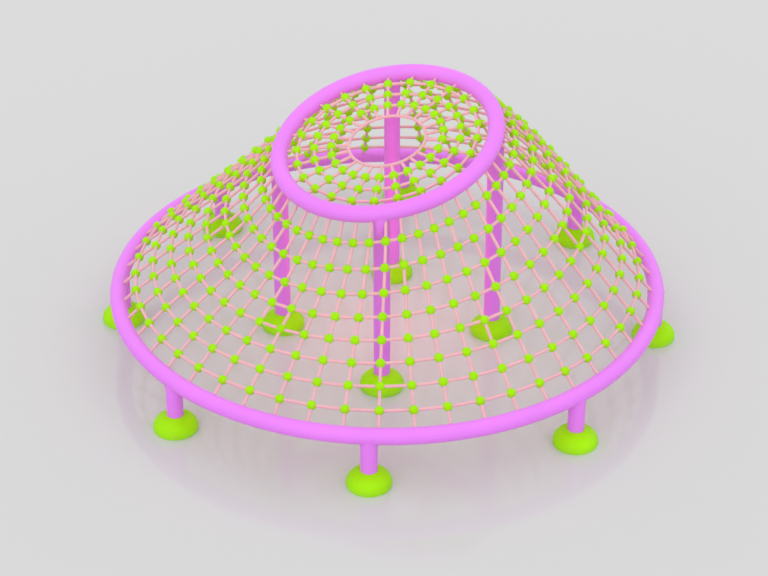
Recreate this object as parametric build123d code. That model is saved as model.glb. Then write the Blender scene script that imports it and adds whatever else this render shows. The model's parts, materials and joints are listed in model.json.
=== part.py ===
from build123d import *
from math import asin, cos, degrees, pi, radians, sin, sqrt
import os

# Dome climber: a tilted upper ring on tall posts, a large lower ring on short posts, and a rope net
# between them with a ball on every crossing. Millimetres, +Z up, the ground at Z = 0 and the origin
# under the centre of the lower ring.

# --- frame tube and rings ---
tube_diameter = 114.0
tube_wall = 3.5
lower_ring_radius = 1900.0          # centre line
lower_ring_height = 380.0           # centre line
upper_ring_radius = 760.0           # centre line
upper_ring_height = 1520.0          # middle of the centre line
upper_ring_tilt = 15.0              # degrees
tilt_heading = -135.0               # degrees, the side where the upper ring is lowest

# --- lower ring splices ---
splice_sleeve_length = 160.0
splice_sleeve_wall = 5.0
splice_gap = 0.4
sleeve_clearance = 0.3
splice_count = 4
splice_share = 0.2                  # where in its quarter a splice lies, half way between two ropes
screw_diameter = 8.0
screw_head_diameter = 14.0
screw_head_height = 4.0
screw_clearance = 0.2
screw_offset = 48.0                 # from the splice, along the ring
screw_lean = 30.0                   # degrees from straight down, one screw on each side
screw_inner_reach = 3.0             # how far a screw goes past the sleeve's bore
screw_corner = 1.5

# --- posts, base plates and covers ---
short_post_count = 8
short_post_turn = -0.8              # degrees
tall_post_count = 4
weld_gap = 0.3
plate_diameter = 236.0
plate_thickness = 10.0
anchor_circle_diameter = 180.0
anchor_hole_diameter = 18.0
anchor_count = 4
cover_radius = 152.0
cover_widest_height = 22.0
cover_dome_rise = 101.0             # from the widest height to the top of the full dome
cover_wall = 4.0
cover_post_clearance = 0.8

# --- net ---
rope_diameter = 22.0
ball_diameter = 64.0
ball_rope_clearance = 0.2
socket_wall = 4.0                   # left in a ball between the meridian rope and a hoop rope's end
socket_end_gap = 0.3                # between a hoop rope's end and the floor of its socket
rope_straight_past_ball = 3.0       # a meridian rope bends this far outside each ball
meridian_count = 50
first_meridian_angle = 4.7          # degrees
side_hoop_count = 8
side_rise_low = 86.0                # how fast the hoops begin to tilt above the lower ring
side_rise_high = -428.0             # how fast they still tilt at the upper ring
spokes_every = 2                    # one spoke beside every second meridian
top_hoop_count = 3
hatch_radius = 270.0                # centre line of the inner ring rope
rope_hole_clearance = 1.0
ferrule_diameter = 34.0
ferrule_length = 34.0
ferrule_seat_gap = 0.3
ferrule_bore_clearance = 0.1
ferrule_rope_setback = 2.0          # from the ferrule's end to the rope's end
rope_splice_gap = 0.3               # where a spoke rope is spliced to the hatch rope

tube_radius = tube_diameter / 2
tube_bore_radius = tube_radius - tube_wall
sleeve_radius = tube_bore_radius - sleeve_clearance
screw_tip = sleeve_radius - splice_sleeve_wall - screw_inner_reach
rope_radius = rope_diameter / 2
ball_radius = ball_diameter / 2
socket_floor = rope_radius + ball_rope_clearance + socket_wall   # from the middle of the ball
ferrule_radius = ferrule_diameter / 2
# a flat ferrule end touches the round bore at its rim
ferrule_outer_end = sqrt((tube_bore_radius - ferrule_seat_gap) ** 2 - ferrule_radius ** 2)
ferrule_inner_end = ferrule_outer_end - ferrule_length
tilt = radians(upper_ring_tilt)
heading = radians(tilt_heading)
ring_drop = lower_ring_radius - upper_ring_radius
ring_rise = upper_ring_height - lower_ring_height
lower_plane = Plane(origin=(0, 0, lower_ring_height))


def save(name, solids):
    """Write one named sub-part, a single solid or a group of separate ones."""
    shapes = list(solids)
    shape = shapes[0] if len(shapes) == 1 else Compound(children=shapes)
    shape.label = name
    export_step(shape, f"parts/{name}.step", write_pcurves=False)
    print(name, len(shapes))


def tilted_point(radius, lean, height, angle):
    """A point of a circle whose centre is at height and which leans by lean towards the heading."""
    along = radius * cos(angle - heading)
    across = radius * sin(angle - heading)
    flat = along * cos(lean)
    return Vector(
        flat * cos(heading) - across * sin(heading),
        flat * sin(heading) + across * cos(heading),
        height - along * sin(lean),
    )


def tilted_plane(lean, height):
    """The plane of such a circle, with its X axis pointing down the lean."""
    downhill = Vector(cos(heading) * cos(lean), sin(heading) * cos(lean), -sin(lean))
    normal = Vector(cos(heading) * sin(lean), sin(heading) * sin(lean), cos(lean))
    return Plane(origin=(0, 0, height), x_dir=downhill, z_dir=normal)


def hoop_lean(radius, t):
    """Lean of a hoop at the share t of the way up, rising smoothly from none to the upper ring's."""
    drop = upper_ring_radius * sin(tilt) * (3 * t ** 2 - 2 * t ** 3)
    drop += side_rise_low * (t ** 3 - 2 * t ** 2 + t) + side_rise_high * (t ** 3 - t ** 2)
    return asin(drop / radius)


def rod(start, end, radius):
    """A solid round bar from one point to another."""
    axis = end - start
    return Solid.make_cylinder(radius, axis.length, Plane(origin=start, z_dir=axis))


def hollow_rod(start, end, radius, bore):
    axis = end - start
    plane = Plane(origin=start, z_dir=axis)
    outer = Solid.make_cylinder(radius, axis.length, plane)
    inner = Solid.make_cylinder(bore, axis.length + 2, plane.offset(-1))
    return (outer - inner).solid()


def round_along(points, radius):
    """A round bar through the points, straight between them."""
    path = Wire.make_polygon(points, close=False)
    section = Plane(origin=points[0], z_dir=points[1] - points[0]) * Circle(radius)
    return sweep(section, path=path, transition=Transition.RIGHT).solid()


def ring_tube(radius, outer, wall, plane, start=0.0, end=360.0):
    """A tube bent to a circle or an arc of it, open at its ends."""
    section = Plane.XZ * Pos(radius, 0) * (Circle(outer) - Circle(outer - wall))
    bent = revolve(section, Axis.Z, end - start)
    return (plane * Rot(0, 0, start) * bent).solid()


def main_solid(shape):
    """The largest solid of a cut result."""
    return max(shape.solids(), key=lambda piece: piece.volume)


# --- geometry of the side net ---
meridian_angles = [radians(first_meridian_angle + 360 * j / meridian_count) for j in range(meridian_count)]
spoke_angles = meridian_angles[::spokes_every]


def net_point(k, angle):
    """A crossing of the side net on hoop k, or a point of a ring for the first and last value."""
    share = k / (side_hoop_count + 1)
    radius = lower_ring_radius - ring_drop * share
    return tilted_point(radius, hoop_lean(radius, share), lower_ring_height + ring_rise * share, angle)


def trim_end(anchor, towards, distance):
    return anchor + (towards - anchor).normalized() * distance


def run_through(before, here, after):
    """Direction of a rope inside a ball, half way between its directions on both sides."""
    return ((after - here).normalized() + (here - before).normalized()).normalized()


def rope_path(points):
    """The rope's corners: it is straight through each ball and bends a little outside it."""
    corners = [points[0]]
    for before, here, after in zip(points, points[1:], points[2:]):
        half = run_through(before, here, after) * (ball_radius + rope_straight_past_ball)
        corners += [here - half, here + half]
    return corners + [points[-1]]


meridians = [[net_point(k, angle) for k in range(side_hoop_count + 2)] for angle in meridian_angles]
meridian_paths = [rope_path(points) for points in meridians]

# --- geometry of the top net, in the plane of the upper ring ---
top_step = (upper_ring_radius - hatch_radius) / (top_hoop_count + 1)
top_plane = tilted_plane(tilt, upper_ring_height)
top_hoop_radii = [upper_ring_radius - top_step * k for k in range(1, top_hoop_count + 1)]


def top_point(radius, angle):
    return tilted_point(radius, tilt, upper_ring_height, angle)


spokes = [[top_point(radius, angle) for radius in [upper_ring_radius] + top_hoop_radii + [hatch_radius]]
          for angle in spoke_angles]


# --- rope ends: the point on a ring's centre line and the rope's next corner ---
ropes_below = [(points[0], points[1]) for points in meridian_paths]
ropes_above = [(points[-1], points[-2]) for points in meridian_paths]
ropes_above += [(points[0], points[1]) for points in spokes]

# --- posts: positions ---
short_turn = radians(short_post_turn)
short_post_angles = [2 * pi * i / short_post_count + short_turn for i in range(short_post_count)]
tall_post_angles = [2 * pi * i / tall_post_count for i in range(tall_post_count)]
cell = 360 / meridian_count
splice_cells = [int(meridian_count * (i + splice_share) / splice_count) for i in range(splice_count)]
splice_angles = [first_meridian_angle + cell * (n + 0.5) for n in splice_cells]


def plan_radius(angle):
    """Distance from the origin to the upper ring's centre line, seen from above."""
    side = angle - heading
    return upper_ring_radius * cos(tilt) / sqrt(cos(side) ** 2 + (cos(tilt) * sin(side)) ** 2)


short_feet = [Vector(cos(a), sin(a), 0) * lower_ring_radius for a in short_post_angles]
tall_feet = [Vector(cos(a), sin(a), 0) * plan_radius(a) for a in tall_post_angles]


def rope_hole(anchor, towards):
    """Cutter for a rope's hole through the tube wall, from inside the tube outwards."""
    start = trim_end(anchor, towards, ferrule_inner_end)
    end = trim_end(anchor, towards, tube_radius + 20)
    return rod(start, end, rope_radius + rope_hole_clearance)


def lower_ring_arcs():
    half_gap = degrees(splice_gap / 2 / lower_ring_radius)
    for number, start in enumerate(splice_angles):
        end = splice_angles[(number + 1) % splice_count]
        span = (end - start) % 360
        arc = ring_tube(lower_ring_radius, tube_radius, tube_wall, lower_plane, start + half_gap,
                        start + span - half_gap)
        cutters = [screw_hole(*place) for place in screw_places(start, 1) + screw_places(end, -1)]
        for angle, points in zip(meridian_angles, meridian_paths):
            if (degrees(angle) - start) % 360 < span:
                cutters.append(rope_hole(points[0], points[1]))
        yield main_solid(arc - cutters)


def screw_places(splice, side):
    """Two screws on one side of a splice: a point on the tube's centre line and the way out of it."""
    angle = radians(splice) + side * screw_offset / lower_ring_radius
    radial = Vector(cos(angle), sin(angle), 0)
    centre = radial * lower_ring_radius + lower_plane.origin
    down = Vector(0, 0, -cos(radians(screw_lean)))
    return [(centre, down + radial * sin(radians(lean))) for lean in (-screw_lean, screw_lean)]


def screw_hole(centre, out):
    reach = tube_radius + screw_head_height
    return rod(centre + out * screw_tip, centre + out * reach, screw_diameter / 2 + screw_clearance)


def splice_sleeves():
    half = degrees(splice_sleeve_length / 2 / lower_ring_radius)
    for splice in splice_angles:
        sleeve = ring_tube(lower_ring_radius, sleeve_radius, splice_sleeve_wall, lower_plane,
                           splice - half, splice + half)
        places = screw_places(splice, 1) + screw_places(splice, -1)
        yield main_solid(sleeve - [screw_hole(*place) for place in places])


def splice_screws():
    # a flat screw head meets the round tube along its middle
    seat = tube_radius + screw_clearance
    for splice in splice_angles:
        for centre, out in screw_places(splice, 1) + screw_places(splice, -1):
            shank = rod(centre + out * screw_tip, centre + out * (seat + 1), screw_diameter / 2)
            top = centre + out * (seat + screw_head_height)
            head = rod(centre + out * seat, top, screw_head_diameter / 2)
            rim = max(head.faces(), key=lambda face: (face.center() - centre).dot(out)).edges()
            yield (shank + head.fillet(screw_corner, rim)).solid()


def upper_ring():
    whole = ring_tube(upper_ring_radius, tube_radius, tube_wall, top_plane)
    return main_solid(whole - [rope_hole(*ends) for ends in ropes_above])


def post(foot, ring_radius, plane, ropes):
    """A tube standing on its base plate, its top cut to the underside of the ring above it."""
    bottom = foot + Vector(0, 0, plate_thickness + weld_gap)
    top = foot + Vector(0, 0, (plane.origin - foot).dot(plane.z_dir) / plane.z_dir.Z)
    tube = hollow_rod(bottom, top, tube_radius, tube_bore_radius)
    ring = plane * Solid.make_torus(ring_radius, tube_radius + weld_gap)
    # a rope that leaves the ring beside the post passes through a notch in the post's edge
    notches = [rope_hole(*ends) for ends in ropes if (ends[0] - top).length < tube_diameter]
    return min((tube - ring - notches).solids(), key=lambda piece: piece.center().Z)


def base_plates(feet):
    middle = plate_thickness / 2
    for foot in feet:
        plate = Pos(foot.X, foot.Y, middle) * Cylinder(plate_diameter / 2, plate_thickness)
        for i in range(anchor_count):
            turn = 2 * pi * (i + 0.5) / anchor_count
            spot = foot + Vector(cos(turn), sin(turn)) * (anchor_circle_diameter / 2)
            plate -= Pos(spot.X, spot.Y, middle) * Cylinder(anchor_hole_diameter / 2, plate_thickness * 2)
        yield plate.solid()


def foot_cover(foot):
    """A thin dome around the post, widest a little above the ground."""
    dome = Pos(0, cover_widest_height) * Ellipse(cover_radius, cover_dome_rise)
    hollow = Pos(0, cover_widest_height) * Ellipse(cover_radius - cover_wall, cover_dome_rise - cover_wall)
    bore = tube_radius + cover_post_clearance
    room = Pos(bore, 0) * Rectangle(2 * cover_radius, 2 * cover_dome_rise, align=(Align.MIN, Align.MIN))
    shell = revolve(Plane.XZ * ((dome - hollow) & room), Axis.Z)
    return (Pos(foot.X, foot.Y, 0) * shell).solid()


def meridian_ropes():
    setback = ferrule_inner_end + ferrule_rope_setback
    for points in meridian_paths:
        start = trim_end(points[0], points[1], setback)
        end = trim_end(points[-1], points[-2], setback)
        yield round_along([start] + points[1:-1] + [end], rope_radius)


def spoke_ropes():
    hatch = hatch_rope(rope_splice_gap)
    for points in spokes:
        outer = trim_end(points[0], points[1], ferrule_inner_end + ferrule_rope_setback)
        yield main_solid(rod(outer, points[-1], rope_radius) - hatch)


def hatch_rope(extra=0.0):
    return top_plane * Solid.make_torus(hatch_radius, rope_radius + extra)


def ferrule(anchor, towards):
    start = trim_end(anchor, towards, ferrule_inner_end)
    end = trim_end(anchor, towards, ferrule_outer_end)
    return hollow_rod(start, end, ferrule_radius, rope_radius + ferrule_bore_clearance)


def rope_ferrules():
    for ends in ropes_below + ropes_above:
        yield ferrule(*ends)


def hoop_ropes(crossings):
    """The straight lengths of one hoop, each from a socket in one ball to a socket in the next."""
    reach = socket_floor + socket_end_gap
    for here, after in zip(crossings, crossings[1:] + crossings[:1]):
        yield rod(trim_end(here, after, reach), trim_end(after, here, reach), rope_radius)


def hoop_balls(crossings, befores, afters):
    """The balls of one hoop, each moulded around the rope that runs through it."""
    bore = rope_radius + ball_rope_clearance
    for i, centre in enumerate(crossings):
        run = run_through(befores[i], centre, afters[i])
        neighbours = (crossings[i - 1], crossings[(i + 1) % len(crossings)])
        outward = run.cross(neighbours[1] - neighbours[0])
        ball = Plane(origin=centre, x_dir=outward, z_dir=run) * Sphere(ball_radius)
        channel = rod(centre - run * ball_diameter, centre + run * ball_diameter, bore)
        sockets = [rod(trim_end(centre, end, socket_floor), trim_end(centre, end, ball_diameter), bore)
                   for end in neighbours]
        yield main_solid(ball - [channel] - sockets)


os.makedirs("parts", exist_ok=True)

for number, arc in enumerate(lower_ring_arcs(), 1):
    save(f"lower_ring_arc_{number}", [arc])
save("lower_ring_sleeves", splice_sleeves())
save("sleeve_screws", splice_screws())
save("upper_ring", [upper_ring()])
for number, foot in enumerate(short_feet, 1):
    save(f"short_post_{number}", [post(foot, lower_ring_radius, lower_plane, [])])
    save(f"short_post_cover_{number}", [foot_cover(foot)])
for number, foot in enumerate(tall_feet, 1):
    save(f"tall_post_{number}", [post(foot, upper_ring_radius, top_plane, ropes_above)])
    save(f"tall_post_cover_{number}", [foot_cover(foot)])
save("base_plates", base_plates(short_feet + tall_feet))
save("meridian_ropes", meridian_ropes())
for k in range(1, side_hoop_count + 1):
    before, here, after = ([points[n] for points in meridians] for n in (k - 1, k, k + 1))
    save(f"hoop_ropes_{k}", hoop_ropes(here))
    save(f"hoop_balls_{k}", hoop_balls(here, before, after))
save("spoke_ropes", spoke_ropes())
for k in range(1, top_hoop_count + 1):
    before, here, after = ([points[n] for points in spokes] for n in (k - 1, k, k + 1))
    save(f"top_hoop_ropes_{k}", hoop_ropes(here))
    save(f"top_hoop_balls_{k}", hoop_balls(here, before, after))
save("hatch_rope", [hatch_rope()])
save("rope_ferrules", rope_ferrules())
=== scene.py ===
import json
import math
import bpy
import numpy as np
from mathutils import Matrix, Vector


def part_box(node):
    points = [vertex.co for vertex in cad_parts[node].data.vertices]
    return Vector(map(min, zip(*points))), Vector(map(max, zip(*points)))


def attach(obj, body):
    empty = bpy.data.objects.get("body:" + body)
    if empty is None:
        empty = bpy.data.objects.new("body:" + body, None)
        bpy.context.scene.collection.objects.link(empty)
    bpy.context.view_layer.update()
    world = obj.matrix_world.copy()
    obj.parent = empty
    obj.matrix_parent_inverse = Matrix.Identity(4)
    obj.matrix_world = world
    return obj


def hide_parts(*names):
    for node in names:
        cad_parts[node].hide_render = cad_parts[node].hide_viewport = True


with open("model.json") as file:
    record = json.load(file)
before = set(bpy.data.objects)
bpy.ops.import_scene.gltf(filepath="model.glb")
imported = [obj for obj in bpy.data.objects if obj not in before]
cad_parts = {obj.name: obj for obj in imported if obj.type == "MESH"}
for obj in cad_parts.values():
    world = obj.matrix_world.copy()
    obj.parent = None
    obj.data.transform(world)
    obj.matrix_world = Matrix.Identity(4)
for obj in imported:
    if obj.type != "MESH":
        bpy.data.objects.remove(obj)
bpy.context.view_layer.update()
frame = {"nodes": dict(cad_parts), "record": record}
nodes = frame["nodes"]

# what the frame says about the climber
arcLow = np.min([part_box(f"lower_ring_arc_{i}")[0] for i in range(1, 5)], axis=0)
arcHigh = np.max([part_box(f"lower_ring_arc_{i}")[1] for i in range(1, 5)], axis=0)
ringLow, ringHigh = (np.array(corner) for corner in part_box("upper_ring"))
hatchLow, hatchHigh = (np.array(corner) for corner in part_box("hatch_rope"))
net = {
    "heading": math.radians(-135),  # side where the upper ring is lowest
    "meridians": 50,
    "hoops": 8,
    "firstAngle": math.radians(4.7),
    "riseLow": 0.086,  # how the hoops begin to lean above the lower ring
    "riseHigh": -0.428,  # and how they still lean at the upper ring
    "spokeEvery": 2,
    "topHoops": 3,
    "ropeRadius": 0.011,
    "ballRadius": 0.032,
    "socketFloor": 0.0155,  # a hoop rope ends this far from the middle of a ball
    "straightPastBall": 0.003,  # a meridian bends only this far outside a ball
    "hiddenLength": 0.04,  # of each rope's end, counted from the middle of a ring tube
}
tubeRadius = (arcHigh[2] - arcLow[2]) / 2
lowerRadius = (arcHigh[0] - arcLow[0]) / 2 - tubeRadius
lowerHeight = (arcHigh[2] + arcLow[2]) / 2
upperHeight = (ringHigh[2] + ringLow[2]) / 2
ringRise = (ringHigh[2] - ringLow[2]) / 2 - tubeRadius
ringReach = (ringHigh[0] - ringLow[0]) / 2 - tubeRadius
upperRadius = math.hypot(ringReach, ringRise * math.cos(net["heading"]))
tilt = math.asin(ringRise / upperRadius)
hatchRise = (hatchHigh[2] - hatchLow[2]) / 2 - net["ropeRadius"]
hatchRadius = hatchRise / math.sin(tilt)
print("frame read: rings", round(lowerRadius, 4), round(upperRadius, 4),
      "tilt", round(math.degrees(tilt), 2), "hatch", round(hatchRadius, 4))


def tiltedPoints(radius, lean, height, angles):
    # points of a circle whose centre is at height and whose plane leans down towards the heading:
    # along = r cos(a - heading), across = r sin(a - heading), z = height - along sin(lean), and
    # along is shortened by cos(lean) on the ground plan
    turned = np.asarray(angles) - net["heading"]
    along, across = radius * np.cos(turned), radius * np.sin(turned)
    flat = along * np.cos(lean)
    c, s = math.cos(net["heading"]), math.sin(net["heading"])
    x, y = flat * c - across * s, flat * s + across * c
    return np.stack([x, y, height - along * np.sin(lean)], axis=-1)


def leanedNormal(lean):
    # the axis of such a circle
    return np.array([math.cos(net["heading"]) * math.sin(lean),
                     math.sin(net["heading"]) * math.sin(lean), math.cos(lean)])


def netPoints(k, angles):
    # crossings of hoop k: radius and height run straight from ring to ring, and the lean follows a
    # cubic from level to the upper ring's tilt; k = 0 and hoops + 1 lie on the rings' centre lines
    t = k / (net["hoops"] + 1)
    drop = upperRadius * math.sin(tilt) * (3 * t**2 - 2 * t**3)
    drop += net["riseLow"] * (t**3 - 2 * t**2 + t) + net["riseHigh"] * (t**3 - t**2)
    radius = lowerRadius + (upperRadius - lowerRadius) * t
    height = lowerHeight + (upperHeight - lowerHeight) * t
    return tiltedPoints(radius, math.asin(drop / radius), height, angles)


def unit(v):
    return v / np.linalg.norm(v, axis=-1, keepdims=True)


meridianAngles = net["firstAngle"] + 2 * math.pi * np.arange(net["meridians"]) / net["meridians"]
spokeAngles = meridianAngles[:: net["spokeEvery"]]
hoopRange = range(1, net["hoops"] + 1)
topHoopRange = range(1, net["topHoops"] + 1)
crossings = np.stack([netPoints(k, meridianAngles) for k in range(net["hoops"] + 2)], axis=1)
topRadii = np.linspace(upperRadius, hatchRadius, net["topHoops"] + 2)
topCrossings = np.stack([tiltedPoints(r, tilt, upperHeight, spokeAngles) for r in topRadii], axis=1)
ringNormal = leanedNormal(tilt)


# node group helpers
noiseSpan = (0.3, 0.7)  # most of a noise lies between these


def newGroup(name, inputs, outputs):
    group = bpy.data.node_groups.new(name, "ShaderNodeTree")
    for label, kind, value in inputs:
        socket = group.interface.new_socket(name=label, in_out="INPUT", socket_type=kind)
        socket.default_value = value
    for label, kind in outputs:
        group.interface.new_socket(name=label, in_out="OUTPUT", socket_type=kind)
    return group, group.nodes.new("NodeGroupInput"), group.nodes.new("NodeGroupOutput")


def addNode(tree, kind, values=None, links=None, **settings):
    # one node with its settings, its socket values and what feeds its sockets
    node = tree.nodes.new(kind)
    for name, value in settings.items():
        setattr(node, name, value)
    for socket, value in (values or {}).items():
        node.inputs[socket].default_value = value
    for socket, source in (links or {}).items():
        tree.links.new(source, node.inputs[socket])
    return node


def rangeOf(tree, source, fromLow, fromHigh, toLow, toHigh, smooth=False):
    # source moved from one range to another and held at the ends
    values = {1: fromLow, 2: fromHigh, 3: toLow, 4: toHigh}
    kind = "SMOOTHSTEP" if smooth else "LINEAR"
    node = addNode(tree, "ShaderNodeMapRange", values, {0: source}, interpolation_type=kind)
    return node.outputs[0]


def mathOf(tree, operation, *operands):
    node = addNode(tree, "ShaderNodeMath", operation=operation)
    for index, operand in enumerate(operands):
        if isinstance(operand, (int, float)):
            node.inputs[index].default_value = operand
        else:
            tree.links.new(operand, node.inputs[index])
    return node.outputs[0]


def mixColour(tree, factor, first, second, blend="MIX"):
    node = addNode(tree, "ShaderNodeMix", data_type="RGBA", blend_type=blend)
    for socket, value in ((0, factor), (6, first), (7, second)):
        if isinstance(value, (int, float, tuple)):
            node.inputs[socket].default_value = value
        else:
            tree.links.new(value, node.inputs[socket])
    return node.outputs[2]


# effects shared by the materials
def makePatchesGroup():
    # broad patches and fine speckle that lighten or darken a colour
    group, into, out = newGroup("Patches", [("Colour", "NodeSocketColor", (1, 1, 1, 1)),
                                            ("Place", "NodeSocketVector", (0, 0, 0)),
                                            ("Patch Scale", "NodeSocketFloat", 3.0),
                                            ("Speckle Scale", "NodeSocketFloat", 300.0),
                                            ("Amount", "NodeSocketFloat", 0.06)],
                                [("Colour", "NodeSocketColor"), ("Mask", "NodeSocketFloat")])
    broad = addNode(group, "ShaderNodeTexNoise", {"Detail": 4.0, "Roughness": 0.55},
                    {"Vector": into.outputs["Place"], "Scale": into.outputs["Patch Scale"]})
    fine = addNode(group, "ShaderNodeTexNoise", {"Detail": 2.0},
                   {"Vector": into.outputs["Place"], "Scale": into.outputs["Speckle Scale"]})
    both = mathOf(group, "ADD", rangeOf(group, broad.outputs[0], *noiseSpan, -1.0, 1.0),
                  rangeOf(group, fine.outputs[0], *noiseSpan, -0.5, 0.5))
    level = mathOf(group, "MULTIPLY_ADD", both, into.outputs["Amount"], 1.0)
    shade = addNode(group, "ShaderNodeHueSaturation", {"Hue": 0.5, "Saturation": 1.0},
                    {"Value": level, "Color": into.outputs["Colour"]})
    group.links.new(shade.outputs[0], out.inputs["Colour"])
    group.links.new(broad.outputs[0], out.inputs["Mask"])
    return group


dirt = {"colour": (0.62, 0.58, 0.52, 1), "scale": 26.0, "edge": (0.38, 0.66), "thinnest": 0.15}


def makeDustGroup():
    # pale ground dust that thins out evenly up to Height, broken up by a noise
    group, into, out = newGroup("Ground Dust", [("Colour", "NodeSocketColor", (1, 1, 1, 1)),
                                                ("Place", "NodeSocketVector", (0, 0, 0)),
                                                ("Height", "NodeSocketFloat", 0.1),
                                                ("Amount", "NodeSocketFloat", 0.3),
                                                ("Dust", "NodeSocketColor", dirt["colour"])],
                                [("Colour", "NodeSocketColor"), ("Mask", "NodeSocketFloat")])
    parts = addNode(group, "ShaderNodeSeparateXYZ", links={0: into.outputs["Place"]})
    share = mathOf(group, "DIVIDE", parts.outputs[2], into.outputs["Height"])
    low = mathOf(group, "MAXIMUM", mathOf(group, "SUBTRACT", 1.0, share), 0.0)
    noise = addNode(group, "ShaderNodeTexNoise",
                    {"Scale": dirt["scale"], "Detail": 5.0, "Roughness": 0.6},
                    {"Vector": into.outputs["Place"]})
    broken = rangeOf(group, noise.outputs[0], *dirt["edge"], dirt["thinnest"], 1.0, True)
    mask = mathOf(group, "MULTIPLY", mathOf(group, "MULTIPLY", low, broken), into.outputs["Amount"])
    mask = mathOf(group, "MINIMUM", mask, 1.0)
    colour = mixColour(group, mask, into.outputs["Colour"], into.outputs["Dust"])
    group.links.new(colour, out.inputs["Colour"])
    group.links.new(mask, out.inputs["Mask"])
    return group


scratch = {"turns": ((0.4, 0.2, 0.9), (1.3, 0.7, 2.2)), "stretch": (1.0, 14.0, 1.0),
           "lineEdge": (0.64, 0.70), "areaScale": 2.4, "areaEdge": (0.48, 0.66)}


def makeScuffGroup():
    # thin short scratches where hands and shoes rub, as a mask for colour and gloss
    group, into, out = newGroup("Scuffs", [("Place", "NodeSocketVector", (0, 0, 0)),
                                           ("Scale", "NodeSocketFloat", 9.0),
                                           ("Cover", "NodeSocketFloat", 0.5)],
                                [("Mask", "NodeSocketFloat")])
    layers = []
    for turn in scratch["turns"]:
        turned = addNode(group, "ShaderNodeMapping",
                         {"Rotation": turn, "Scale": scratch["stretch"]},
                         {"Vector": into.outputs["Place"]})
        scratches = addNode(group, "ShaderNodeTexNoise", {"Detail": 2.0, "Roughness": 0.4},
                            {"Vector": turned.outputs[0], "Scale": into.outputs["Scale"]})
        layers.append(rangeOf(group, scratches.outputs[0], *scratch["lineEdge"], 0.0, 1.0, True))
    where = addNode(group, "ShaderNodeTexNoise", {"Scale": scratch["areaScale"], "Detail": 2.0},
                    {"Vector": into.outputs["Place"]})
    place = rangeOf(group, where.outputs[0], *scratch["areaEdge"], 0.0, 1.0, True)
    mask = mathOf(group, "MULTIPLY", mathOf(group, "MAXIMUM", *layers), place)
    group.links.new(mathOf(group, "MULTIPLY", mask, into.outputs["Cover"]), out.inputs["Mask"])
    return group


def makeTextureGroup():
    # the fine surface of a coat or a moulding: rounded orange-peel dimples over a slow ripple
    group, into, out = newGroup("Surface Texture", [("Place", "NodeSocketVector", (0, 0, 0)),
                                                    ("Dimple Scale", "NodeSocketFloat", 420.0),
                                                    ("Ripple Scale", "NodeSocketFloat", 24.0),
                                                    ("Ripple", "NodeSocketFloat", 0.5)],
                                [("Height", "NodeSocketFloat")])
    dimples = addNode(group, "ShaderNodeTexVoronoi", feature="SMOOTH_F1",
                      links={"Vector": into.outputs["Place"],
                             "Scale": into.outputs["Dimple Scale"]})
    ripple = addNode(group, "ShaderNodeTexNoise", {"Detail": 1.0},
                     {"Vector": into.outputs["Place"], "Scale": into.outputs["Ripple Scale"]})
    height = mathOf(group, "MULTIPLY_ADD", ripple.outputs[0], into.outputs["Ripple"],
                    dimples.outputs["Distance"])
    group.links.new(height, out.inputs["Height"])
    return group


fibres = {"across": 8.0, "along": 0.35, "scale": 3.0, "height": 0.35, "grooveEdge": (0.55, 1.0)}


def makeYarnGroup():
    # yarns that run round each strand of a laid rope: u counts across the strands and v is metres
    # along
    group, into, out = newGroup("Yarns", [("Along", "NodeSocketVector", (0, 0, 0)),
                                          ("Strands", "NodeSocketFloat", 6.0),
                                          ("Yarn Pitch", "NodeSocketFloat", 0.004),
                                          ("Slant", "NodeSocketFloat", 1.6)],
                                [("Height", "NodeSocketFloat"), ("Groove Shade", "NodeSocketFloat"),
                                 ("Fibre", "NodeSocketFloat")])
    parts = addNode(group, "ShaderNodeSeparateXYZ", links={0: into.outputs["Along"]})
    across = mathOf(group, "MULTIPLY", parts.outputs[0], into.outputs["Strands"])
    ahead = mathOf(group, "DIVIDE", parts.outputs[1], into.outputs["Yarn Pitch"])
    phase = mathOf(group, "MULTIPLY_ADD", across, into.outputs["Slant"], ahead)
    wave = mathOf(group, "SINE", mathOf(group, "MULTIPLY", phase, math.pi))
    yarn = mathOf(group, "ABSOLUTE", wave)
    inStrand = mathOf(group, "FRACT", across)
    groove = mathOf(group, "ABSOLUTE", mathOf(group, "MULTIPLY_ADD", inStrand, 2.0, -1.0))
    stretched = addNode(group, "ShaderNodeCombineXYZ",
                        links={0: mathOf(group, "MULTIPLY", across, fibres["across"]),
                               1: mathOf(group, "MULTIPLY", ahead, fibres["along"])})
    fibre = addNode(group, "ShaderNodeTexNoise",
                    {"Scale": fibres["scale"], "Detail": 3.0, "Roughness": 0.7},
                    {"Vector": stretched.outputs[0]})
    height = mathOf(group, "MULTIPLY_ADD", fibre.outputs[0], fibres["height"], yarn)
    # mask of the grooves between the strands, where the rope takes painted shade
    grooveShadeMask = rangeOf(group, groove, *fibres["grooveEdge"], 0.0, 1.0, True)
    group.links.new(height, out.inputs["Height"])
    group.links.new(grooveShadeMask, out.inputs["Groove Shade"])
    group.links.new(fibre.outputs[0], out.inputs["Fibre"])
    return group


groups = {"patches": makePatchesGroup(), "dust": makeDustGroup(), "scuffs": makeScuffGroup(),
          "texture": makeTextureGroup(), "yarns": makeYarnGroup()}
print("shader groups ready:", len(groups))


# materials
def startMaterial(name, shaderValues):
    material = bpy.data.materials.new(name)
    material.use_nodes = True
    tree = material.node_tree
    tree.nodes.clear()
    output = tree.nodes.new("ShaderNodeOutputMaterial")
    shader = addNode(tree, "ShaderNodeBsdfPrincipled", shaderValues)
    tree.links.new(shader.outputs[0], output.inputs[0])
    return material, tree, shader, addNode(tree, "ShaderNodeTexCoord")


def useGroup(tree, name, values=None, links=None):
    return addNode(tree, "ShaderNodeGroup", values, links, node_tree=groups[name])


def addPatches(tree, at, colour, patchScale, speckleScale, amount):
    values = {"Colour": colour, "Patch Scale": patchScale, "Speckle Scale": speckleScale,
              "Amount": amount}
    return useGroup(tree, "patches", values, {"Place": at})


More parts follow.
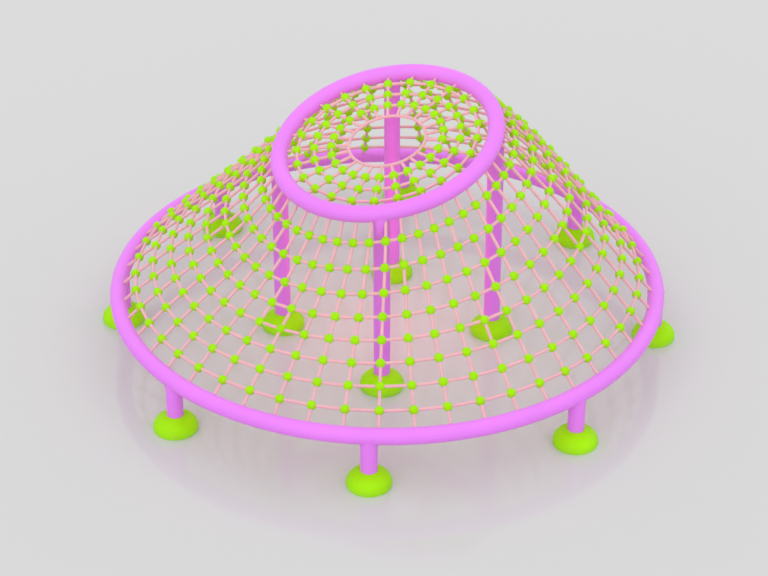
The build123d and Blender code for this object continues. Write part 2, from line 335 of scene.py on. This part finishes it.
def addTexture(tree, at, dimples, rippleScale, ripple):
    values = {"Dimple Scale": dimples, "Ripple Scale": rippleScale, "Ripple": ripple}
    return useGroup(tree, "texture", values, {"Place": at})


def addWear(tree, at, patches, wear, dustHeight, dustAmount, roughness):
    # scuffs that pale the colour and dust that covers it; both dull the gloss
    scuffs = useGroup(tree, "scuffs", {"Scale": wear["scale"], "Cover": wear["cover"]},
                      {"Place": at})
    share = mathOf(tree, "MULTIPLY", scuffs.outputs[0], wear["pale"])
    rubbed = mixColour(tree, share, patches.outputs[0], wear["colour"])
    dust = useGroup(tree, "dust", {"Height": dustHeight, "Amount": dustAmount},
                    {"Colour": rubbed, "Place": at})
    rough = rangeOf(tree, patches.outputs["Mask"], *noiseSpan, *roughness)
    rough = mathOf(tree, "MULTIPLY_ADD", scuffs.outputs[0], wear["scuffDull"], rough)
    rough = mathOf(tree, "MULTIPLY_ADD", dust.outputs["Mask"], wear["dustDull"], rough)
    return dust.outputs["Colour"], rough


def addBump(tree, shader, height, distance, strength=1.0):
    bump = addNode(tree, "ShaderNodeBump", {"Distance": distance, "Strength": strength},
                   {"Height": height})
    tree.links.new(bump.outputs[0], shader.inputs["Normal"])


paint = {
    "colour": (0.86, 0.235, 0.985, 1),
    "patchScale": 2.2,
    "speckleScale": 240.0,
    "amount": 0.035,
    "specular": 0.22,
    "roughness": (0.34, 0.46),
    "coatRoughness": 0.25,
    "coatWeight": (0.25, 0.12),
    "peel": 0.00012,  # depth of the orange peel
    "dimples": 340.0,
    "rippleScale": 14.0,
    "ripple": 0.9,
    "dustAmount": 0.12,
    "dustHeight": 0.16,
    "wear": {"scale": 7.0, "cover": 0.5, "colour": (0.88, 0.50, 0.96, 1), "pale": 0.22,
             "scuffDull": 0.25, "dustDull": 0.4},
}


def makePaint():
    # violet powder coat: satin, with orange peel, a little scuffing and dust towards the ground
    material, tree, shader, place = startMaterial(
        "violet powder coat",
        {"Specular IOR Level": paint["specular"], "Coat Roughness": paint["coatRoughness"]})
    at = place.outputs["Object"]
    patches = addPatches(tree, at, paint["colour"], paint["patchScale"], paint["speckleScale"],
                         paint["amount"])
    colour, rough = addWear(tree, at, patches, paint["wear"], paint["dustHeight"],
                            paint["dustAmount"], paint["roughness"])
    texture = addTexture(tree, at, paint["dimples"], paint["rippleScale"], paint["ripple"])
    coat = rangeOf(tree, patches.outputs["Mask"], *noiseSpan, *paint["coatWeight"])
    tree.links.new(colour, shader.inputs["Base Color"])
    tree.links.new(rough, shader.inputs["Roughness"])
    tree.links.new(coat, shader.inputs["Coat Weight"])
    addBump(tree, shader, texture.outputs[0], paint["peel"])
    return material


plastic = {
    "colour": (0.39, 0.875, 0.002, 1),
    "patchScale": 6.0,
    "speckleScale": 500.0,
    "amount": 0.05,
    "specular": 0.12,
    "roughness": (0.38, 0.5),
    "grain": 0.00018,  # depth of the moulded grain
    "rippleScale": 40.0,
    "ripple": 0.4,
    "wear": {"scale": 16.0, "cover": 0.6, "colour": (0.60, 0.93, 0.22, 1), "pale": 0.3,
             "scuffDull": 0.22, "dustDull": 0.35},
}
mould = {
    "ridge": 0.02,  # half width of the parting line, as a share of the way from pole to pole
    "ridgeHeight": 4.0,
    "gate": 0.40,  # how far the gate marks lie from the parting line
    "gateHeight": -3.0,
    "gateColour": (0.26, 0.62, 0.004, 1),
    "gateShade": 0.35,
}
coverLook = {"dustAmount": 0.12, "dustHeight": 0.05, "dimples": 380.0}
ballLook = {"dustAmount": 0.0, "dustHeight": 0.5, "dimples": 700.0, "parting": True}


def makePlastic(name, dustAmount, dustHeight, dimples, parting=False):
    # lime moulded plastic: fine moulded grain, scuffs that dull it, and dust near the ground; a
    # ball also has the fine ridge where the two halves of its mould met and a gate mark near
    # each pole
    material, tree, shader, place = startMaterial(name, {"Specular IOR Level": plastic["specular"]})
    at = place.outputs["Object"]
    patches = addPatches(tree, at, plastic["colour"], plastic["patchScale"],
                         plastic["speckleScale"], plastic["amount"])
    colour, rough = addWear(tree, at, patches, plastic["wear"], dustHeight, dustAmount,
                            plastic["roughness"])
    texture = addTexture(tree, at, dimples, plastic["rippleScale"], plastic["ripple"])
    height = texture.outputs[0]
    if parting:
        parts = addNode(tree, "ShaderNodeSeparateXYZ", links={0: place.outputs["UV"]})
        fromMiddle = mathOf(tree, "ABSOLUTE", mathOf(tree, "SUBTRACT", parts.outputs[1], 0.5))
        ridge = rangeOf(tree, fromMiddle, 0.0, mould["ridge"], 1.0, 0.0, True)
        gate = mathOf(tree, "COMPARE", fromMiddle, mould["gate"], mould["ridge"] / 2)
        height = mathOf(tree, "MULTIPLY_ADD", gate, mould["gateHeight"], height)
        height = mathOf(tree, "MULTIPLY_ADD", ridge, mould["ridgeHeight"], height)
        shade = mathOf(tree, "MULTIPLY", gate, mould["gateShade"])
        colour = mixColour(tree, shade, colour, mould["gateColour"])
    tree.links.new(colour, shader.inputs["Base Color"])
    tree.links.new(rough, shader.inputs["Roughness"])
    addBump(tree, shader, height, plastic["grain"])
    return material


ropeShape = {
    "strands": 6,
    "pointsPerStrand": 4,
    "fullness": 1.04,
    "groove": 0.12,
    "lay": 0.125,  # length in which a strand goes once round the rope
    "step": 0.0115,
    "meridianPieces": 5,  # the meridian ropes are shared out among so many pieces
    "spokeTip": 0.6,  # a spoke ends this share of a rope's radius from the hatch rope's middle
    "hatchCorners": 180,
}
ropeLook = {
    "colour": (0.93, 0.49, 0.55, 1),
    # deep is the painted shade of the grooves; pale is the painted highlight of the yarn crowns
    "deep": (0.83, 0.36, 0.42, 1),
    "pale": (0.95, 0.61, 0.66, 1),
    "patchScale": 9.0,
    "speckleScale": 900.0,
    "amount": 0.06,
    "yarnPitch": 0.0042,
    "slant": 2.3,
    "crownEdge": (0.6, 1.25),
    "crownHighlightMix": 0.55,
    "grooveShadeMix": 0.7,
    "roughness": (0.62, 0.86),
    "sheen": 0.25,
    "sheenRoughness": 0.45,
    "specular": 0.25,
    "bump": 0.0006,
    "bumpStrength": 0.8,
}


def makeRope():
    # laid polyester rope: yarns across each strand, darkened by painted shade in the grooves and
    # paled by a painted highlight on the yarn crowns
    material, tree, shader, place = startMaterial(
        "pink polyester rope",
        {"Sheen Weight": ropeLook["sheen"], "Sheen Roughness": ropeLook["sheenRoughness"],
         "Specular IOR Level": ropeLook["specular"]})
    yarns = useGroup(tree, "yarns", {"Strands": ropeShape["strands"],
                                     "Yarn Pitch": ropeLook["yarnPitch"],
                                     "Slant": ropeLook["slant"]}, {"Along": place.outputs["UV"]})
    patches = addPatches(tree, place.outputs["Object"], ropeLook["colour"],
                         ropeLook["patchScale"], ropeLook["speckleScale"], ropeLook["amount"])
    # painted highlight: the rope is paled where the yarns stand highest
    crownHighlight = rangeOf(tree, yarns.outputs["Height"], *ropeLook["crownEdge"], 0.0,
                    ropeLook["crownHighlightMix"], True)
    body = mixColour(tree, crownHighlight, patches.outputs[0], ropeLook["pale"])
    # painted shade: darker towards the grooves between the strands
    depth = mathOf(tree, "MULTIPLY", yarns.outputs["Groove Shade"], ropeLook["grooveShadeMix"])
    colour = mixColour(tree, depth, body, ropeLook["deep"])
    rough = rangeOf(tree, yarns.outputs["Fibre"], *noiseSpan, *ropeLook["roughness"])
    tree.links.new(colour, shader.inputs["Base Color"])
    tree.links.new(rough, shader.inputs["Roughness"])
    addBump(tree, shader, yarns.outputs["Height"], ropeLook["bump"], ropeLook["bumpStrength"])
    return material


metals = {
    "galvanised_steel": {"name": "galvanised steel", "colour": (0.55, 0.57, 0.58, 1),
                         "roughness": 0.45, "spangle": 60.0},
    "stainless_steel": {"name": "stainless steel", "colour": (0.62, 0.62, 0.63, 1),
                        "roughness": 0.3, "spangle": 220.0},
    "aluminium_ferrule": {"name": "pressed aluminium", "colour": (0.77, 0.78, 0.80, 1),
                          "roughness": 0.35, "spangle": 180.0},
}
metalGrain = {"speckle": 6, "dimples": 3, "amount": 0.12, "ripple": 0.6, "depth": 0.0001,
              "glossier": 0.08, "duller": 0.1}


def makeMetal(name, colour, roughness, spangle):
    # bare metal of the hidden pieces: galvanised plates, stainless screws, pressed ferrules
    material, tree, shader, place = startMaterial(name, {"Metallic": 1.0})
    at = place.outputs["Object"]
    patches = addPatches(tree, at, colour, spangle, spangle * metalGrain["speckle"],
                         metalGrain["amount"])
    texture = addTexture(tree, at, spangle * metalGrain["dimples"], spangle, metalGrain["ripple"])
    rough = rangeOf(tree, patches.outputs["Mask"], *noiseSpan,
                    roughness - metalGrain["glossier"], roughness + metalGrain["duller"])
    tree.links.new(patches.outputs[0], shader.inputs["Base Color"])
    tree.links.new(rough, shader.inputs["Roughness"])
    addBump(tree, shader, texture.outputs[0], metalGrain["depth"])
    return material


finishes = {"violet_paint": makePaint(), "pink_rope": makeRope(),
            "lime_plastic": makePlastic("lime ball plastic", **ballLook)}
finishes.update({slot: makeMetal(**metal) for slot, metal in metals.items()})
coverPlastic = makePlastic("lime cover plastic", **coverLook)
for part in frame["record"]["subparts"]:
    node = nodes[part["node"]]
    finish = coverPlastic if "cover" in part["node"] else finishes[part["material_slot"]]
    node.data.materials.clear()
    node.data.materials.append(finish)
print("materials on", len(nodes), "frame nodes")


# new surfaces
def buildPiece(name, points, faces, material, cornerUvs=None, replaced=()):
    # one mesh from whole arrays of points and faces, riding on the frame; cornerUvs has a row for
    # each corner of each face, in the order of faces
    mesh = bpy.data.meshes.new(name)
    mesh.from_pydata(np.asarray(points).reshape(-1, 3), [], faces)
    mesh.polygons.foreach_set("use_smooth", np.ones(len(mesh.polygons), bool))
    if cornerUvs is not None:
        layer = mesh.uv_layers.new(name="UVMap")
        layer.data.foreach_set("uv", np.asarray(cornerUvs, np.float32).ravel())
    mesh.materials.append(material)
    mesh.update()
    piece = bpy.data.objects.new(name, mesh)
    bpy.context.scene.collection.objects.link(piece)
    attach(piece, "root")
    if replaced:
        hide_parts(*replaced)
    return piece


def ropeSurfaces(paths, outward, closed=False):
    # laid ropes along straight-sided paths, all worked out together. At a length s the section is
    # r = fullness R (1 - groove (1 - |cos(strands psi / 2)|)) over the angle psi, and the whole
    # section turns by 2 pi s / lay, so each column of points follows one strand. paths: ropes x
    # corners x 3. A closed rope takes the whole number of turns that is nearest
    paths, outward = np.asarray(paths, float), np.asarray(outward, float)
    if closed:
        paths = np.concatenate([paths, paths[:, :1]], axis=1)
    legs = np.linalg.norm(np.diff(paths, axis=1), axis=2)
    lengths = np.concatenate([np.zeros((len(paths), 1)), np.cumsum(legs, axis=1)], axis=1)
    rows = int(math.ceil(lengths[:, -1].max() / ropeShape["step"])) + 1
    s = lengths[:, -1:] * np.linspace(0, 1, rows)
    centre = np.stack([[np.interp(s[i], lengths[i], paths[i, :, axis]) for axis in range(3)]
                       for i in range(len(paths))]).transpose(0, 2, 1)
    along = unit(np.gradient(centre, axis=1))
    if closed:
        along[:, 0] = along[:, -1] = unit(centre[:, 1] - centre[:, -2])
    up = np.broadcast_to(outward, centre.shape)
    up = unit(up - np.sum(up * along, axis=-1, keepdims=True) * along)
    side = np.cross(along, up)
    columns = ropeShape["strands"] * ropeShape["pointsPerStrand"]
    psi = 2 * math.pi * np.arange(columns) / columns
    radius = 1 - ropeShape["groove"] * (1 - np.abs(np.cos(ropeShape["strands"] * psi / 2)))
    radius *= net["ropeRadius"] * ropeShape["fullness"]
    turns = 2 * math.pi * s / ropeShape["lay"]
    if closed:
        turns = 2 * math.pi * np.round(s[:, -1:] / ropeShape["lay"]) * np.linspace(0, 1, rows)
    angle = psi[None, None, :] + turns[:, :, None]
    points = centre[:, :, None, :] + radius[None, None, :, None] * (
        np.cos(angle)[..., None] * up[:, :, None, :]
        + np.sin(angle)[..., None] * side[:, :, None, :])
    return points, s, centre


def tubeGrid(tubes, rows, columns, lengths):
    # quads of tubes whose sections close on themselves, and their corners' UVs: u runs once round
    # the section and v is the length along
    r, i, j = np.meshgrid(np.arange(tubes), np.arange(rows - 1), np.arange(columns), indexing="ij")
    steps = ((0, 0), (0, 1), (1, 1), (1, 0))
    faces = np.stack([(r * rows + i + di) * columns + (j + dj) % columns for di, dj in steps],
                     axis=-1)
    uvs = np.stack([np.stack([(j + dj) / columns, lengths[r, i + di]], axis=-1)
                    for di, dj in steps], axis=-2)
    return faces.reshape(-1, 4), uvs.reshape(-1, 2)


def endCaps(tubes, rows, columns):
    # triangles from both end sections of each tube to its tips; the tips come after the tubes' own
    # points, first one for the start of each tube and then one for its end
    first = np.arange(tubes)[:, None] * rows * columns + np.arange(columns)
    second = np.roll(first, -1, axis=1)
    tips = tubes * rows * columns + np.broadcast_to(np.arange(tubes)[:, None], first.shape)
    ahead = (rows - 1) * columns
    caps = [np.stack([second, first, tips], axis=-1),
            np.stack([first + ahead, second + ahead, tips + tubes], axis=-1)]
    return np.concatenate(caps).reshape(-1, 3)


def makeRopes(name, paths, outward, replaced, closed=False):
    # the tube grid, and a cone of triangles that closes each open end
    points, along, centre = ropeSurfaces(paths, outward, closed)
    ropes, rows, columns = points.shape[:3]
    allPoints = points.reshape(-1, 3)
    faces, uvs = tubeGrid(ropes, rows, columns, along)
    if closed:
        # the last row lies on the first, so its points are left out
        last = (rows - 1) * columns
        faces = np.where(faces % (rows * columns) >= last, faces - last, faces)
        keep = np.arange(len(allPoints)) % (rows * columns) < last
        allPoints, faces = allPoints[keep], (np.cumsum(keep) - 1)[faces].tolist()
    else:
        caps = endCaps(ropes, rows, columns)
        allPoints = np.concatenate([allPoints, centre[:, 0], centre[:, -1]])
        faces = faces.tolist() + caps.tolist()
        uvs = np.concatenate([uvs, np.zeros((caps.size, 2))])
    piece = buildPiece(name, allPoints, faces, finishes["pink_rope"], uvs, replaced)


def outwardOf(a, b):
    # away from the dome at the middle of each path: outwards and up at 45 degrees
    middle = (a + b) / 2
    flat = unit(middle * np.array([1.0, 1.0, 0.0]))
    return unit(flat + np.array([0.0, 0.0, 1.0]))[:, None, :]


def shorten(a, b, distance):
    return a + unit(b - a) * distance


def ballToBall(here, following):
    # straight lengths from a socket in one ball to a socket in the next
    depth = net["socketFloor"]
    return np.stack([shorten(here, following, depth), shorten(following, here, depth)], axis=1)


# meridian ropes: straight through each ball, bending just outside it
inner = crossings[:, 1:-1]
before, after = unit(inner - crossings[:, :-2]), unit(crossings[:, 2:] - inner)
half = unit(before + after) * (net["ballRadius"] + net["straightPastBall"])
corners = np.stack([inner - half, inner + half], axis=2).reshape(net["meridians"], -1, 3)
startPoints = shorten(crossings[:, 0], corners[:, 0], net["hiddenLength"])
endPoints = shorten(crossings[:, -1], corners[:, -1], net["hiddenLength"])
meridianPaths = np.concatenate([startPoints[:, None], corners, endPoints[:, None]], axis=1)
meridianOut = outwardOf(crossings[:, 0], crossings[:, -1])
perPiece = net["meridians"] // ropeShape["meridianPieces"]
for group in range(ropeShape["meridianPieces"]):
    chosen = slice(group * perPiece, (group + 1) * perPiece)
    makeRopes(f"meridianRopes{group + 1}", meridianPaths[chosen], meridianOut[chosen],
              ("meridian_ropes",))
print("meridian ropes", meridianPaths.shape)

# hoop ropes
for k in hoopRange:
    here, following = crossings[:, k], np.roll(crossings[:, k], -1, axis=0)
    makeRopes(f"hoopRopes{k}", ballToBall(here, following), outwardOf(here, following),
              (f"hoop_ropes_{k}",))
print("hoop ropes", net["hoops"])

# top net: spokes, hoops in straight lengths and the round rope of the hatch
spokeStart = shorten(topCrossings[:, 0], topCrossings[:, -1], net["hiddenLength"])
spokeEnd = shorten(topCrossings[:, -1], topCrossings[:, 0],
                   net["ropeRadius"] * ropeShape["spokeTip"])
upward = np.broadcast_to(ringNormal, (len(spokeAngles), 1, 3))
makeRopes("spokeRopes", np.stack([spokeStart, spokeEnd], 1), upward, ("spoke_ropes",))
for k in topHoopRange:
    here, following = topCrossings[:, k], np.roll(topCrossings[:, k], -1, axis=0)
    makeRopes(f"topHoopRopes{k}", ballToBall(here, following), upward, (f"top_hoop_ropes_{k}",))
hatchAngles = np.linspace(0, 2 * math.pi, ropeShape["hatchCorners"], endpoint=False)
hatchPath = tiltedPoints(hatchRadius, tilt, upperHeight, hatchAngles)[None]
makeRopes("hatchRope", hatchPath, ringNormal[None, None, :], ("hatch_rope",), closed=True)
print("top net ropes ready")


ballShape = {"columns": 12, "bands": 6, "fullness": 1.03}  # fullness makes up for the flat faces


def makeBalls(name, centres, runs, normals, replaced):
    # moulded balls: centre + R (cos a cos b run + cos a sin b across + sin a normal) over the
    # latitude a and the longitude b, each with one point at either pole. v of the UVs is the
    # latitude, from 0 to 1
    columns, bands = ballShape["columns"], ballShape["bands"]
    a = math.pi * (np.arange(1, bands) / bands - 0.5)
    b = 2 * math.pi * np.arange(columns) / columns
    across = np.cross(normals, runs)
    flat = np.cos(b)[:, None] * runs[:, None, None] + np.sin(b)[:, None] * across[:, None, None]
    spread = np.cos(a)[:, None, None] * flat + np.sin(a)[:, None, None] * normals[:, None, None]
    balls, rows = len(centres), bands - 1
    radius = net["ballRadius"] * ballShape["fullness"]
    rings = (centres[:, None, None] + radius * spread).reshape(-1, 3)
    poles = np.concatenate([centres - radius * normals, centres + radius * normals])
    share = np.broadcast_to(np.arange(1, bands) / bands, (balls, rows))
    faces, uvs = tubeGrid(balls, rows, columns, share)
    caps = endCaps(balls, rows, columns)
    capUvs = np.zeros((len(caps), 3, 2))
    capUvs[:balls * columns, :2, 1] = 1 / bands
    capUvs[balls * columns:, :2, 1] = 1 - 1 / bands
    capUvs[balls * columns:, 2, 1] = 1.0
    piece = buildPiece(name, np.concatenate([rings, poles]), faces.tolist() + caps.tolist(),
                       finishes["lime_plastic"], np.concatenate([uvs, capUvs.reshape(-1, 2)]),
                       replaced)


for k in hoopRange:
    here, below, above = crossings[:, k], crossings[:, k - 1], crossings[:, k + 1]
    runs = unit(unit(above - here) + unit(here - below))
    sideways = np.roll(here, -1, axis=0) - np.roll(here, 1, axis=0)
    makeBalls(f"hoopBalls{k}", here, runs, unit(np.cross(sideways, runs)), (f"hoop_balls_{k}",))
for k in topHoopRange:
    here = topCrossings[:, k]
    runs = unit(topCrossings[:, k + 1] - here)
    makeBalls(f"topHoopBalls{k}", here, runs, np.broadcast_to(ringNormal, here.shape),
              (f"top_hoop_balls_{k}",))
print("balls", net["hoops"] * net["meridians"] + net["topHoops"] * len(spokeAngles))


weld = {
    "radius": 0.0042,
    "ripple": 0.16,
    "pitch": 0.005,
    "rows": 260,
    "columns": 8,
    "inPost": 0.00044,  # how deep the bead's middle lies in the post
    "inRing": 0.00088,  # and in the ring
    "searchDepth": 3,  # tube radii below the ring's centre line
    "halvings": 40,
}


def weldSeam(name, foot, radius, lean, height):
    # a bead along the line where a post's tube meets the ring above it. At each angle of the post
    # the height is found by halving: below it the point is outside the ring's tube, above it inside
    phi = np.linspace(0, 2 * math.pi, weld["rows"], endpoint=False)
    spread = tubeRadius - weld["inPost"]
    x, y = foot[0] + spread * np.cos(phi), foot[1] + spread * np.sin(phi)
    normal = leanedNormal(lean)
    origin = np.array([0.0, 0.0, height])

    def outside(z):
        p = np.stack([x, y, z], axis=-1) - origin
        rise = p @ normal
        flat = np.linalg.norm(p - rise[:, None] * normal, axis=1)
        return np.hypot(flat - radius, rise) - (tubeRadius - weld["inRing"])

    high = height - (x * normal[0] + y * normal[1]) / normal[2]
    low = high - weld["searchDepth"] * tubeRadius
    for _ in range(weld["halvings"]):
        middle = (low + high) / 2
        isOut = outside(middle) > 0
        low, high = np.where(isOut, middle, low), np.where(isOut, high, middle)
    path = np.stack([x, y, (low + high) / 2], axis=-1)
    along = unit(np.roll(path, -1, axis=0) - np.roll(path, 1, axis=0))
    out = unit(np.stack([np.cos(phi), np.sin(phi), np.zeros_like(phi)], axis=-1))
    out = unit(out - np.sum(out * along, axis=1, keepdims=True) * along)
    side = np.cross(along, out)
    travelled = np.cumsum(np.linalg.norm(path - np.roll(path, 1, axis=0), axis=1))
    wave = np.abs(np.sin(math.pi * travelled / weld["pitch"]))
    size = weld["radius"] * (1 + weld["ripple"] * wave)
    psi = np.linspace(0, 2 * math.pi, weld["columns"], endpoint=False)
    section = (np.cos(psi)[None, :, None] * out[:, None]
               + np.sin(psi)[None, :, None] * side[:, None])
    points = path[:, None] + size[:, None, None] * section
    i, j = np.meshgrid(np.arange(weld["rows"]), np.arange(weld["columns"]), indexing="ij")
    nextRow, nextColumn = (i + 1) % weld["rows"], (j + 1) % weld["columns"]
    w = weld["columns"]
    corners = [i * w + j, i * w + nextColumn, nextRow * w + nextColumn, nextRow * w + j]
    faces = np.stack(corners, axis=-1).reshape(-1, 4)
    piece = buildPiece(name, points, faces.tolist(), finishes["violet_paint"])


def middleOf(node):
    low, high = (np.array(corner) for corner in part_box(node))
    return (low + high) / 2


posts = {"short": 8, "tall": 4}
for i in range(1, posts["short"] + 1):
    weldSeam(f"shortPostWeld{i}", middleOf(f"short_post_{i}"), lowerRadius, 0.0, lowerHeight)
for i in range(1, posts["tall"] + 1):
    weldSeam(f"tallPostWeld{i}", middleOf(f"tall_post_{i}"), upperRadius, tilt, upperHeight)
print("weld seams", sum(posts.values()))


# floor, light and camera
stageLook = {"floorSize": 60.0, "floorColour": (0.655, 0.655, 0.655, 1), "floorSpecular": 0.5,
             "floorRoughness": (0.07, 0.10), "floorPatches": 1.6, "worldStrength": 0.92}


def makeFloor():
    # a pale, slightly polished studio floor
    material, tree, shader, place = startMaterial(
        "pale floor", {"Base Color": stageLook["floorColour"],
                       "Specular IOR Level": stageLook["floorSpecular"]})
    noise = addNode(tree, "ShaderNodeTexNoise",
                    {"Scale": stageLook["floorPatches"], "Detail": 3.0},
                    {"Vector": place.outputs["Object"]})
    rough = rangeOf(tree, noise.outputs[0], *noiseSpan, *stageLook["floorRoughness"])
    tree.links.new(rough, shader.inputs["Roughness"])
    side = stageLook["floorSize"] / 2
    corners = [(-side, -side, 0), (side, -side, 0), (side, side, 0), (-side, side, 0)]
    mesh = bpy.data.meshes.new("floor")
    mesh.from_pydata(corners, [], [(0, 1, 2, 3)])
    mesh.materials.append(material)
    floor = bpy.data.objects.new("floor", mesh)
    bpy.context.scene.collection.objects.link(floor)


# the light that the violet and pink throw about inside the dome
glow = {"at": (0.0, 0.0, 0.75), "radius": 0.5, "watts": 8.5, "colour": (1.0, 0.17, 0.26)}


def addGlow():
    light = bpy.data.lights.new("innerGlow", "POINT")
    light.shadow_soft_size, light.energy = glow["radius"], glow["watts"]
    light.color = glow["colour"]
    lamp = bpy.data.objects.new("innerGlow", light)
    lamp.location = glow["at"]
    lamp.visible_camera = lamp.visible_glossy = False
    bpy.context.scene.collection.objects.link(lamp)


# broad suns that leave only soft shade; lean is measured from straight down, heading is where the
# light comes from
suns = {
    "keySun": {"heading": math.radians(-105), "lean": math.radians(58),
               "spread": math.radians(70), "strength": 0.56},
    "fillSun": {"heading": math.radians(10), "lean": math.radians(40),
                "spread": math.radians(90), "strength": 0.16},
}
sunPlace = {"out": 4, "up": 6.0}  # only where the lamp stands in the viewport


def addSun(name, heading, lean, spread, strength):
    light = bpy.data.lights.new(name, "SUN")
    light.angle, light.energy = spread, strength
    lamp = bpy.data.objects.new(name, light)
    out = sunPlace["out"]
    lamp.location = (out * math.cos(heading), out * math.sin(heading), sunPlace["up"])
    lamp.rotation_euler = (lean, 0.0, heading + math.pi / 2)
    bpy.context.scene.collection.objects.link(lamp)


view = {"azimuth": math.radians(2.8), "elevation": math.radians(31.59), "distance": 17.685,
        "target": (-0.022, 0.0, 0.335), "lens": 116.67, "sensor": 36.0, "reach": 100.0}


def addCamera():
    # azimuth 0 looks along +Y
    a, e = view["azimuth"], view["elevation"]
    back = np.array([math.sin(a) * math.cos(e), -math.cos(a) * math.cos(e), math.sin(e)])
    data = bpy.data.cameras.new("camera")
    data.lens, data.sensor_width, data.clip_end = view["lens"], view["sensor"], view["reach"]
    camera = bpy.data.objects.new("camera", data)
    camera.location = np.array(view["target"]) + back * view["distance"]
    camera.rotation_euler = (math.pi / 2 - e, 0.0, a)
    bpy.context.scene.collection.objects.link(camera)
    bpy.context.scene.camera = camera


def makeWorld():
    world = bpy.data.worlds.new("studio")
    world.use_nodes = True
    background = world.node_tree.nodes["Background"]
    background.inputs[0].default_value = (1.0, 1.0, 1.0, 1.0)
    background.inputs[1].default_value = stageLook["worldStrength"]
    bpy.context.scene.world = world


makeFloor()
for name, sun in suns.items():
    addSun(name, **sun)
addGlow()
makeWorld()
bpy.context.scene.view_settings.view_transform = "Standard"
addCamera()
print("stage ready")
